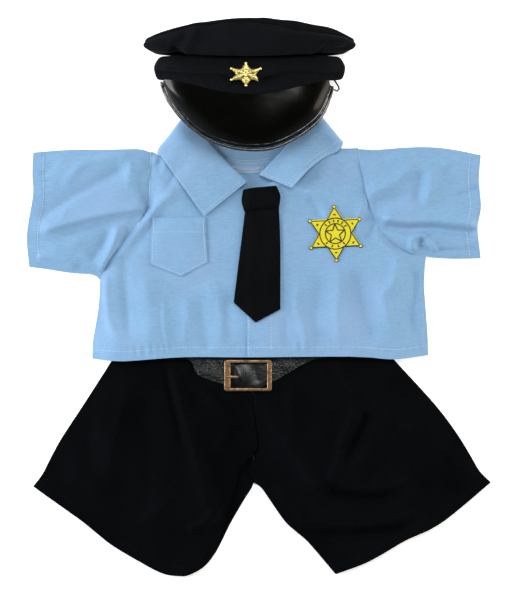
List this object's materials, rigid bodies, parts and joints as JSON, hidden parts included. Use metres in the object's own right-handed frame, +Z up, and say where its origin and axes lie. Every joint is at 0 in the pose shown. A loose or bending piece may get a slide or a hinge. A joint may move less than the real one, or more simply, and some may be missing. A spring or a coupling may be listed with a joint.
{
  "type": "toy police uniform laid flat",
  "caption": "Plush toy's police uniform laid flat: short-sleeved shirt with sewn-in tie, belted shorts and a peaked cap.",
  "frame": {"origin": "middle of the footprint, on the surface the uniform lies on", "axes": "+Z up from the surface, +Y from the leg hems to the top of the cap, +X towards the wearer's left sleeve"},
  "size_m": [0.348, 0.4168, 0.05],
  "materials": {
    "shirt_cotton": "matte end-on-end cotton, pale blue",
    "star_print": "yellow flock print with black outlines",
    "tie_cloth": "matte black",
    "shorts_twill": "matte black twill",
    "belt_vinyl": "grained black vinyl, half gloss",
    "buckle_metal": "plated frame, worn gold brown",
    "cap_twill": "matte black twill",
    "peak_vinyl": "glossy black",
    "badge_gold": "pressed gold foil",
    "elastic_cord": "black elastic"
  },
  "bodies": {
    "root": {"shirt_back": "shirt_cotton", "shirt_front_right": "shirt_cotton", "shirt_front_left": "shirt_cotton", "sleeve_right": "shirt_cotton", "sleeve_left": "shirt_cotton", "collar": "shirt_cotton", "chest_pocket": "shirt_cotton", "chest_star": "star_print", "tie_blade": "tie_cloth", "tie_knot": "tie_cloth", "shorts_front_right": "shorts_twill", "shorts_front_left": "shorts_twill", "shorts_back_right": "shorts_twill", "shorts_back_left": "shorts_twill", "belt_strap": "belt_vinyl", "belt_buckle": "buckle_metal", "buckle_prong": "buckle_metal", "cap_band": "cap_twill", "cap_crown_side": "cap_twill", "cap_crown_top": "cap_twill", "cap_peak": "peak_vinyl", "peak_binding": "peak_vinyl", "cap_star": "badge_gold", "chin_elastic": "elastic_cord"}
  },
  "joints": []
}
